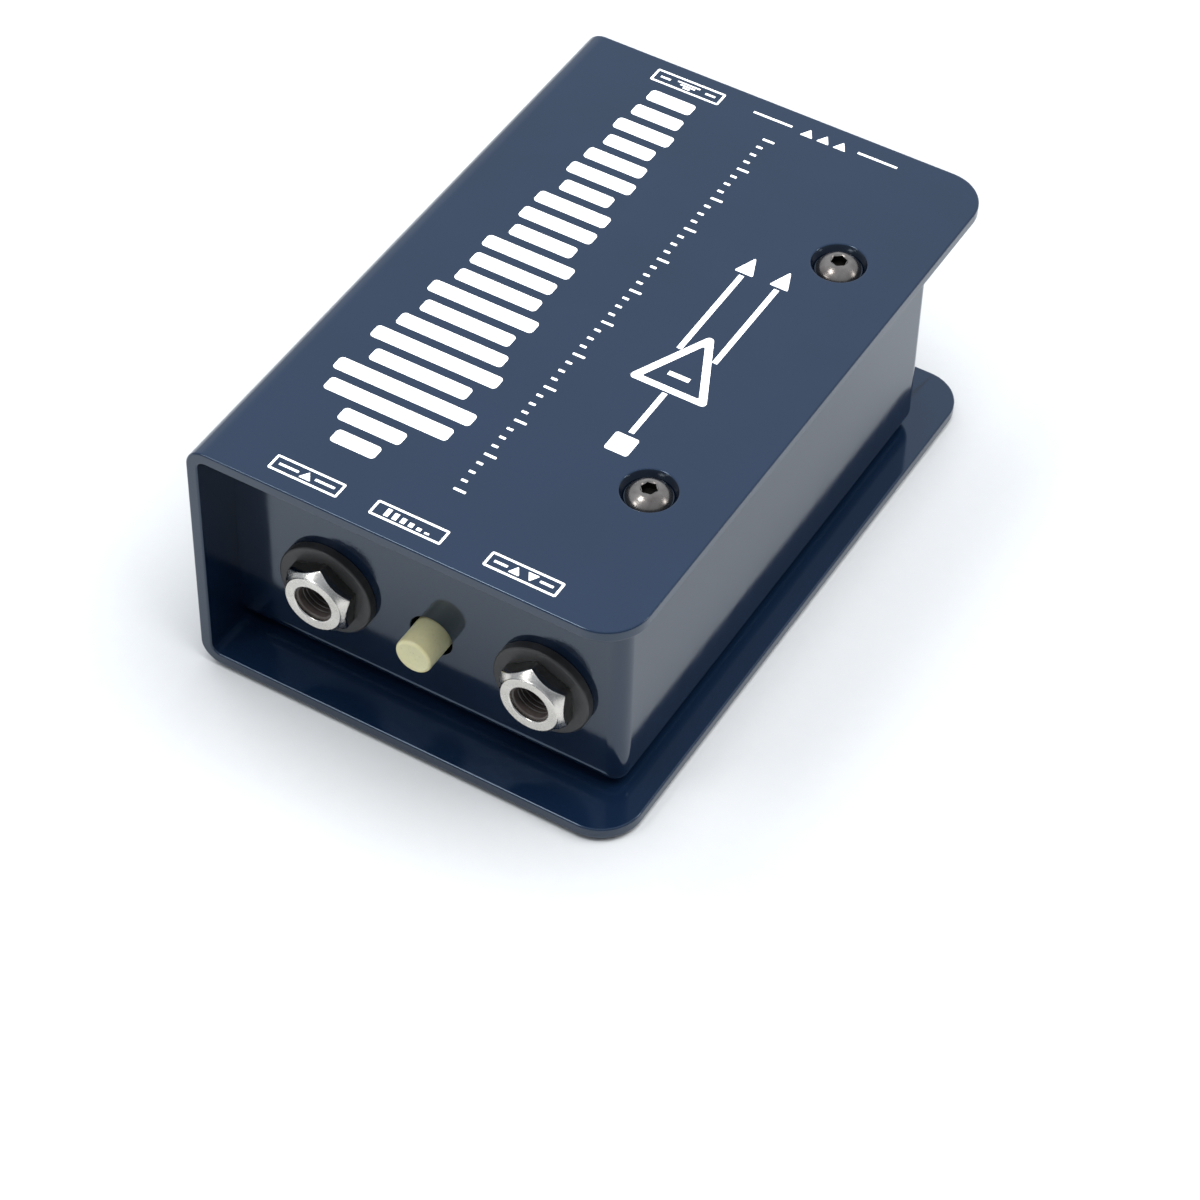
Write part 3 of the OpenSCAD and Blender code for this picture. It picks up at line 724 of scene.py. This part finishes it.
def nut_mesh(turn, n=216):
    """Hexagon whose corners are turned back by a cone, with a rounded front lip over the bushing."""
    rc = NUT_AF / 2 / math.cos(math.pi / 6)
    slope = (rc - NUT_FACE_R) / NUT_CONE
    p = 110.0

    def outer(h, th):
        d = (th - math.radians(turn)) % (math.pi / 3) - math.pi / 6
        hexa = NUT_AF / 2 / math.cos(d)
        hexa = (hexa ** -90.0 + (rc - 0.06) ** -90.0) ** (-1 / 90.0)
        cone = NUT_FACE_R + slope * (NUT_T - h)
        return (hexa ** -p + cone ** -p) ** (-1 / p)

    rows = [("r", BUSH_R + 0.02, 0.0), ("o", 0.0, -0.16), ("o", 0.05, -0.05), ("o", 0.16, 0.0)]
    e = 0.22                                    # front edge rounding
    rows += [("o", 0.16 + (NUT_T - e - 0.16) * k / 38, 0.0) for k in range(1, 39)]
    for a in (18, 36, 54, 72, 90):
        t = math.radians(a)
        rows.append(("f", NUT_T - e + e * math.sin(t), e * (1 - math.cos(t))))
    rows += [("r", 4.2, NUT_T), ("r", PLUG_R + 0.67, NUT_T)]
    for a in (30, 60, 90):
        t = math.radians(a)
        rows.append(("r", PLUG_R + 0.67 - 0.30 * math.sin(t), NUT_T - 0.30 * (1 - math.cos(t))))
    rows += [("r", PLUG_R + 0.37, NUT_T - LIP_T), ("r", BUSH_R + 0.02, NUT_T - LIP_T)]
    verts, faces = [], []
    for kind, a, b in rows:
        for k in range(n):
            th = 2 * math.pi * k / n
            if kind == "r":
                r, h = a, b
            elif kind == "o":
                h = a
                r = outer(max(h, 0.0), th) + b
            else:
                h = a
                r = outer(NUT_T - e, th) - b - 0.0
            verts.append((r * math.cos(th), r * math.sin(th), h))
    m = len(rows)
    for i in range(m):
        for k in range(n):
            j, i2 = (k + 1) % n, (i + 1) % m
            faces.append((i * n + k, i2 * n + k, i2 * n + j, i * n + j))
    return verts, faces


for jack, x in JACK_X.items():
    v, f = nut_mesh(NUT_TURN[jack])
    ob = raw(jack + "_hex_nut", front(v, x, YFW - WASHER_T, JACK_Z), f)
    for poly in ob.data.polygons:                  # the six flats, seen edge on, get a darker copy of the nickel: painted shade
        c = poly.center
        if abs(poly.normal.y) < 0.25 and math.hypot(c.x - x, c.z - JACK_Z) > 5.9:
            poly.material_index = 1
    done(ob, [NICKEL[jack], NICKEL_FLATS_PAINTED_SHADE], "case", [jack + "_jack_nut"], 60.0)

    profile = fillet([(BUSH_R + 0.1, 0.0), (WASHER_R, 0.0, 0.12), (WASHER_R, WASHER_T, 0.42), (8.0, WASHER_T), (7.6, WASHER_T - 0.10),
                      (7.2, WASHER_T), (BUSH_R + 0.1, WASHER_T, 0.15)], 4)
    v, f = lathe(profile, 128)
    ob = raw(jack + "_insulating_washer", front(v, x, YFW, JACK_Z), f)
    done(ob, [WASHER_PLASTIC], "case", [jack + "_jack_washer"], 50.0)

    mouth = WALL + WASHER_T + NUT_T - LIP_T - 0.05
    profile = fillet([(PLUG_R, -1.5), (7.0, -1.5, 0.2), (7.0, 0.0, 0.1), (BUSH_R, 0.0), (BUSH_R, mouth - 0.15), (BUSH_R - 0.15, mouth), (PLUG_R + 0.3, mouth)], 3)
    profile += [(PLUG_R + 0.3 - 0.3 * math.sin(math.radians(a)), mouth - 0.3 * (1 - math.cos(math.radians(a)))) for a in (30, 60, 90)]
    z = mouth - 1.2
    while z > 1.6:                              # fine ribs inside the mouth
        profile += [(PLUG_R, z), (PLUG_R + 0.14, z - 0.12), (PLUG_R + 0.14, z - 0.26), (PLUG_R, z - 0.38)]
        z -= 0.9
    v, f = lathe(profile, 96)
    ob = raw(jack + "_threaded_bushing", front(v, x, YFI, JACK_Z), f)
    done(ob, [BUSHING_PLASTIC], "case", [jack + "_jack_bushing"], 35.0)

# ---------------------------------------------------------------------------
# Push buttons and their return springs.
# ---------------------------------------------------------------------------
CAP_TIP, CAP_BACK = WALL + CAP_OUT, -4.0


def cap_mesh():
    """Round cap, a little tapered, with a rounded front edge, a dished face and a blind bore for the plunger."""
    tip, r = CAP_TIP, CAP_R
    dish = [(rr, tip - 0.17 * (1 - (rr / (r - 0.75)) ** 2)) for rr in (0.0, 0.6, 1.2, 1.8, 2.4, r - 0.75)]
    side = fillet([(r - 0.75, tip - 0.9), (r - 0.75, tip), (r - 0.06, tip, 0.55), (r, CAP_BACK, 0.25), (r - 0.9, CAP_BACK)], 6)[1:]
    bore_ = [(1.66, CAP_BACK), (1.6, CAP_BACK + 0.12), (1.6, CAP_BACK + 7.0), (0.0, CAP_BACK + 7.0)]
    return lathe(dish[:-1] + side + bore_, 96)


def coil_mesh(turns=5.0, rm=2.75, rw=0.25, za=-10.1, zb=-4.3, per=44, n=14):
    """Wire spring with its end turns closed up."""
    m = int(turns * per)
    verts, faces = [], []

    def height(u):
        t = u * turns
        if t < 0.8:
            return 0.10 * t / 0.8 * 0.6
        if t > turns - 0.8:
            return 1 - 0.10 * (turns - t) / 0.8 * 0.6
        w = (t - 0.8) / (turns - 1.6)
        return 0.06 + 0.88 * w

    for i in range(m + 1):
        t = 2 * math.pi * turns * i / m
        h = za + (zb - za) * height(i / m)
        for k in range(n):
            a = 2 * math.pi * k / n
            r = rm + rw * math.cos(a)
            verts.append((r * math.cos(t), r * math.sin(t), h + rw * math.sin(a)))
    for i in range(m):
        for k in range(n):
            j = (k + 1) % n
            faces.append((i * n + k, i * n + j, (i + 1) * n + j, (i + 1) * n + k))
    faces.append(tuple(range(n))[::-1])
    faces.append(tuple(m * n + k for k in range(n)))
    return verts, faces


for which, place, x, y, held in (("pad", front, PAD_X, YFI, YFI + 10.4), ("lift", rear, LIFT_X, YBI, YBI - 10.4)):
    v, f = cap_mesh()
    ob = raw(which + "_push_cap", place(v, x, y, PUSH_Z), f)
    done(ob, [IVORY], which + "_push", [which + "_button"], 40.0)
    v, f = coil_mesh()
    ob = raw(which + "_return_spring", place(v, x, y, PUSH_Z), f)
    done(ob, [SPRING_STEEL], "case", [which + "_switch_spring"], 60.0)
    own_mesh(ob)

# ---------------------------------------------------------------------------
# Output connector.
# ---------------------------------------------------------------------------


def behind(verts):
    """Local +Z out of the rear, local +X towards +X of the part."""
    return [(XLR_X + a, YBW + c, XLR_Z + b) for a, b, c in verts]


bm = slab(rrect(-XLR_W / 2, XLR_W / 2, -XLR_H / 2, XLR_H / 2, 3.0, 10), 0.0, 2.0, 0.35, 3)
xlr = object_of(bm, "connector_housing")
profile = fillet([(10.2, -18.0, 0.1), (11.8, -18.0, 0.3), (11.8, 0.3, 0.0), (11.2, 0.6, 0.0), (11.2, 3.1, 0.35), (10.75, 3.7, 0.30), (CUP_R + 0.35, 3.7, 0.30),
                  (CUP_R, 3.2, 0.4), (CUP_R, -12.5, 0.0), (10.2, -12.5, 0.0)], 4)
v, f = lathe([(0, -1), (10.6, -1), (10.6, 3), (0, 3)], 96)
cut(xlr, raw("open", v, f))
v, f = lathe(profile, 144)
unite(xlr, raw("tube", v, f))
holes = []
for px, pz in XLR_SCREWS:
    v, f = lathe([(0, -2), (1.6, -2), (1.6, 0.6), (2.86, 1.86), (3.0, 1.96), (3.2, 2.02), (3.2, 4), (0, 4)], 64)
    holes.append(raw("hole", [(a + px, b + pz, c) for a, b, c in v], f))
cut(xlr, *holes)
for v in xlr.data.vertices:
    v.co = behind([v.co])[0]
xlr.data.update()
done(xlr, [BLACK_METAL], "case", ["xlr_shell"])

v, f = lathe(fillet([(0, -21.0), (10.2, -21.0, 0.3), (10.2, -12.5, 0.0), (9.4, -12.5, 0.0), (9.1, -12.75, 0.0), (8.4, -12.75, 0.0), (8.1, -12.5, 0.0), (0, -12.5)], 3), 128)
insert = raw("connector_insert", v, f)
holes = []
for px, pz in PINS:
    v, f = lathe([(0, -25), (1.2, -25), (1.2, -12.7), (1.5, -12.45), (1.5, -8), (0, -8)], 48)
    holes.append(raw("hole", [(a + px, b + pz, c) for a, b, c in v], f))
cut(insert, *holes)
for v in insert.data.vertices:
    v.co = behind([v.co])[0]
insert.data.update()
done(insert, [BLACK_PLASTIC], "case", ["xlr_insert"])

verts, faces = [], []
for px, pz in PINS:
    tip = [(1.2 * math.cos(math.radians(a)), 0.3 + 1.2 * math.sin(math.radians(a))) for a in (0, 18, 36, 54, 72)]
    v, f = lathe([(0, -21.0), (1.05, -21.0), (1.2, -20.8)] + tip + [(0, 1.5)], 48)
    o = len(verts)
    verts += [(a + px, b + pz, c) for a, b, c in v]
    faces += [tuple(o + i for i in q) for q in f]
done(raw("connector_pins", behind(verts), faces), [CONTACT], "case", ["xlr_pins"])

parts = []
for i, (px, pz) in enumerate(XLR_SCREWS):
    v, f = lathe(fillet([(0, 1.93), (2.9, 1.93, 0.12), (1.72, 0.75, 0.1), (1.45, 0.75), (1.45, -5.0, 0.3), (0, -5.0)], 3), 64)
    ob = raw("screw", v, f)
    slots = []
    for q in (0, 1):
        a = math.radians(20.0 + 37.0 * i + 90.0 * q)
        w, l = 0.34, 1.75
        prof = [(-l, 2.5), (-l, 1.7), (-0.7, 0.95), (0.7, 0.95), (l, 1.7), (l, 2.5)]
        sv = [(s, -w, z) for s, z in prof] + [(s, w, z) for s, z in prof]
        sf = [tuple(range(6))[::-1], tuple(range(6, 12))] + [(k, (k + 1) % 6, 6 + (k + 1) % 6, 6 + k) for k in range(6)]
        slots.append(raw("slot", [(x * math.cos(a) - y * math.sin(a), x * math.sin(a) + y * math.cos(a), z) for x, y, z in sv], sf))
    cut(ob, *slots)
    for v in ob.data.vertices:
        v.co = behind([(v.co.x + px, v.co.y + pz, v.co.z)])[0]
    parts.append(ob)
bm = bmesh.new()
for ob in parts:
    bm.from_mesh(ob.data)
    me = ob.data
    bpy.data.objects.remove(ob)
    bpy.data.meshes.remove(me)
done(object_of(bm, "connector_screws"), [BLACK_SCREW], "case", ["xlr_screws"], 30.0)

# ---------------------------------------------------------------------------
# White print: plain pictograms and a bar pattern, as thin ink on the enamel.
# ---------------------------------------------------------------------------
INK_LO, INK_HI = TOP - 0.02, Z1


class Print:
    """Collects flat shapes and makes one thin piece of them."""

    def __init__(self):
        self.verts, self.faces = [], []

    def area(self, outline):
        n, o = len(outline), len(self.verts)
        self.verts += [(x, y, INK_LO) for x, y in outline] + [(x, y, INK_HI) for x, y in outline]
        self.faces += [tuple(o + i for i in range(n))[::-1], tuple(o + n + i for i in range(n))]
        self.faces += [(o + i, o + (i + 1) % n, o + n + (i + 1) % n, o + n + i) for i in range(n)]

    def ring(self, outer, inner):
        n, o = len(outer), len(self.verts)
        for pts in (outer, inner):
            for z in (INK_LO, INK_HI):
                self.verts += [(x, y, z) for x, y in pts]
        for i in range(n):
            j = (i + 1) % n
            a, b, c, d = o, o + n, o + 2 * n, o + 3 * n     # outer low, outer high, inner low, inner high
            self.faces += [(b + i, b + j, d + j, d + i), (a + i, c + i, c + j, a + j), (a + i, a + j, b + j, b + i), (c + i, d + i, d + j, c + j)]

    def bar(self, x0, x1, y0, y1, r=None, seg=6):
        r = min(x1 - x0, y1 - y0) / 2 * 0.999 if r is None else r
        self.area(rrect(x0, x1, y0, y1, r, seg) if r > 0 else [(x0, y0), (x1, y0), (x1, y1), (x0, y1)])

    def frame(self, x0, x1, y0, y1, w, r=0.35):
        self.ring(rrect(x0, x1, y0, y1, r, 4), rrect(x0 + w, x1 - w, y0 + w, y1 - w, max(r - w, 0.06), 4))

    def tri(self, x, y, w, h, r=0.12):
        """A triangle with its point at +h."""
        pts = [(x - w / 2, y, r), (x + w / 2, y, r), (x, y + h, r)]
        self.area(fillet(pts if h > 0 else pts[::-1], 3))

    def line(self, a, b, w):
        a, b = Vector(a), Vector(b)
        n = Vector((a.y - b.y, b.x - a.x)).normalized() * (w / 2)
        self.area([tuple(a + n), tuple(a - n), tuple(b - n), tuple(b + n)])

    def piece(self, name):
        return done(raw(name, self.verts, self.faces), [WHITE_INK], "case", (), 30.0)


# Bar pattern on the spine half: a struck note that dies away towards the rear.
art = Print()
bars, pitch, width, mid = 22, 4.85, 3.05, -18.2
for i in range(bars):
    u = i / (bars - 1)
    env = min(1.0, (i + 0.6) / 3.2) * math.exp(-1.55 * max(0.0, u - 0.10))
    beat = 0.60 + 0.40 * abs(math.cos(1.13 * i + 0.35))
    half = 1.9 + 13.2 * env * beat
    y = -48.3 + pitch * i
    art.bar(mid - half, mid + half, y - width / 2, y + width / 2, 0.75, 5)
for i in range(45):                              # fine scale beside the bars
    y = -48.3 + pitch * (bars - 1) * i / 44
    long = i % 4 == 0
    art.bar(0.6, 2.9 if long else 1.8, y - 0.26, y + 0.26, 0.12, 2)
art.piece("print_bars")

# Signal path on the open half: a source, a triangle for the gain stage, and two balanced lines out.
path = Print()
cx = 18.4
path.bar(cx - 2.2, cx + 2.2, -27.6, -23.2, 0.5)
path.bar(cx - 0.5, cx + 0.5, -22.4, -11.4, 0.0)
tri_o = fillet([(cx - 7.6, -11.0, 0.8), (cx + 7.6, -11.0, 0.8), (cx, 5.2, 0.8)], 6)
tri_i = fillet([(cx - 5.45, -9.7, 0.3), (cx + 5.45, -9.7, 0.3), (cx, 1.95, 0.3)], 6)
path.ring(tri_o, tri_i)
path.bar(cx - 2.0, cx + 2.0, -7.3, -6.3, 0.0)
for s in (-1, 1):
    path.line((cx + s * 3.4, -0.9), (cx + s * 3.4, 20.4), 1.0)
    path.tri(cx + s * 3.4, 21.0, 3.6, 4.6, 0.2)
path.piece("print_signal_path")

# Small framed pictograms along the front edge and the rear edge.
marks = Print()
W = 0.42
for x0, x1, kind in ((-27.5, -14.2, "in"), (-8.1, 5.5, "less"), (13.4, 26.9, "on")):
    y0, y1 = -60.2, -56.8
    marks.frame(x0, x1, y0, y1, W)
    c, ym = (x0 + x1) / 2, (y0 + y1) / 2
    if kind == "in":
        marks.bar(x0 + 1.3, c - 1.6, ym - 0.24, ym + 0.24, 0.0)
        marks.tri(c, ym - 0.85, 2.3, 1.75)
        marks.bar(c + 1.6, x1 - 1.3, ym - 0.24, ym + 0.24, 0.0)
    elif kind == "less":
        for i in range(6):
            h = 1.75 - 0.27 * i
            marks.bar(c - 4.0 + 1.55 * i - 0.42, c - 4.0 + 1.55 * i + 0.42, ym - 0.88, ym - 0.88 + h, 0.0)
    else:
        marks.bar(x0 + 1.3, c - 3.0, ym - 0.24, ym + 0.24, 0.0)
        marks.tri(c - 1.45, ym - 0.85, 2.1, 1.75)
        marks.tri(c + 1.45, ym + 0.85, 2.1, -1.75)
        marks.bar(c + 3.0, x1 - 1.3, ym - 0.24, ym + 0.24, 0.0)
x0, x1, y0, y1 = -24.8, -10.8, 57.3, 60.7
marks.frame(x0, x1, y0, y1, W)
c, ym = (x0 + x1) / 2, (y0 + y1) / 2
for i, half in enumerate((2.3, 1.5, 0.7)):       # earth symbol, read from the rear, with its lead open
    marks.bar(c - half, c + half, ym + 0.45 - 0.58 * i - 0.17, ym + 0.45 - 0.58 * i + 0.17, 0.0)
for s in (-1, 1):
    marks.bar(c + s * 4.6 - 1.0, c + s * 4.6 + 1.0, ym - 0.24, ym + 0.24, 0.0)
marks.bar(-4.4, 3.4, 59.0, 59.5, 0.0)
marks.bar(16.6, 24.4, 59.0, 59.5, 0.0)
for i in (-1, 0, 1):
    marks.tri(10.0 + 3.3 * i, 58.2, 2.5, 2.1)
marks.piece("print_marks")

# ---------------------------------------------------------------------------
# CAD nodes that stay as they are get their finish here.
# ---------------------------------------------------------------------------
FINISH = {
    "clinch_nuts": ZINC, "input_jack_body": BLACK_PLASTIC, "thru_jack_body": BLACK_PLASTIC,
    "input_tip_contact": CONTACT, "thru_tip_contact": CONTACT, "xlr_terminals": CONTACT,
    "pad_switch_plunger": GREY_PLASTIC, "lift_switch_plunger": GREY_PLASTIC,
    "pad_switch_body": SWITCH_PLASTIC, "lift_switch_body": SWITCH_PLASTIC,
    "circuit_board": BOARD, "electrolytic_capacitors": ELCO, "film_capacitors": FILM_CAP,
    "amplifier_chips": CHIP, "resistors": RESISTOR, "power_inductor": FERRITE,
    "outer_shell": ENAMEL, "inner_chassis": ENAMEL, "top_cover_screws": SCREW_STEEL, "bottom_cover_screws": SCREW_STEEL,
    "bottom_pad": RUBBER, "input_jack_bushing": BLACK_PLASTIC, "thru_jack_bushing": BLACK_PLASTIC,
    "input_jack_washer": WASHER_PLASTIC, "thru_jack_washer": WASHER_PLASTIC, "input_jack_nut": NICKEL["input"], "thru_jack_nut": NICKEL["thru"],
    "pad_button": IVORY, "lift_button": IVORY, "pad_switch_spring": SPRING_STEEL, "lift_switch_spring": SPRING_STEEL,
    "xlr_shell": BLACK_METAL, "xlr_insert": BLACK_PLASTIC, "xlr_pins": CONTACT, "xlr_screws": BLACK_SCREW,
}
for name, ob in NODES.items():
    mat = FINISH[name]
    if not ob.material_slots:
        ob.data.materials.append(mat)
    for s in ob.material_slots:
        s.material = mat

# ---------------------------------------------------------------------------
# Floor and light.
# ---------------------------------------------------------------------------
fl = Nodes("floor_paper").set(IOR=1.45)
fibre = fl.noise(420.0, 4.0, 0.6)
fl.colour(fl.ramp(fibre, [(0.3, (0.438, 0.446, 0.450)), (0.7, (0.448, 0.456, 0.460))]))
fl.rough(fl.span(fibre, 0.78, 0.9))
me = bpy.data.meshes.new("floor")
S = 6.0
me.from_pydata([(-S, -S, -0.0001), (S, -S, -0.0001), (S, S, -0.0001), (-S, S, -0.0001)], [], [(0, 1, 2, 3)])
me.materials.append(fl.mat)
floor = bpy.data.objects.new("floor", me)
bpy.context.scene.collection.objects.link(floor)

world = bpy.data.worlds.new("studio")
bpy.context.scene.world = world
world.use_nodes = True
bg = next(n for n in world.node_tree.nodes if n.type == "BACKGROUND")
bg.inputs["Color"].default_value = (0.895, 0.965, 1.065, 1.0)
wn = world.node_tree.nodes
way = wn.new("ShaderNodeTexCoord")                 # brighter above and behind, dimmer in front
dot = wn.new("ShaderNodeVectorMath")
dot.operation = "DOT_PRODUCT"
dot.inputs[1].default_value = (-0.30, 0.45, 0.84)
sky = wn.new("ShaderNodeMapRange")
sky.inputs["From Min"].default_value = -0.2
sky.inputs["From Max"].default_value = 0.8
sky.inputs["To Min"].default_value = 0.30
sky.inputs["To Max"].default_value = 0.90
world.node_tree.links.new(way.outputs["Generated"], dot.inputs[0])
world.node_tree.links.new(dot.outputs["Value"], sky.inputs["Value"])
world.node_tree.links.new(sky.outputs["Result"], bg.inputs["Strength"])


def panel(name, place, aim, size, power, colour=(1, 1, 1)):
    """A soft square light."""
    d = bpy.data.lights.new(name, "AREA")
    d.shape = "RECTANGLE"
    d.size, d.size_y = size
    d.energy = power
    d.color = colour
    ob = bpy.data.objects.new(name, d)
    bpy.context.scene.collection.objects.link(ob)
    ob.location = place
    ob.rotation_euler = (Vector(aim) - Vector(place)).to_track_quat("-Z", "Y").to_euler()
    return ob


panel("overhead", (0.30, 0.04, 1.10), (0, 0, 0), (0.9, 0.9), 22.5).visible_glossy = False
panel("key_softbox", (-0.41, -0.53, 1.08), (0, -0.06, 0.03), (0.30, 0.30), 3.0)
panel("left_softbox", (-0.66, -0.85, 0.66), (0, -0.06, 0.03), (0.26, 0.18), 1.0)
panel("left_fill", (-0.62, 0.08, 1.05), (-0.40, 0, 0), (0.60, 0.60), 6.0).visible_glossy = False
panel("right_softbox", (0.96, 0.48, 0.56), (0.03, 0, 0.04), (0.24, 0.22), 0.95)

view = bpy.context.scene.view_settings
view.view_transform = "Standard"
view.look = "None"
view.exposure = 0.0
view.gamma = 1.0
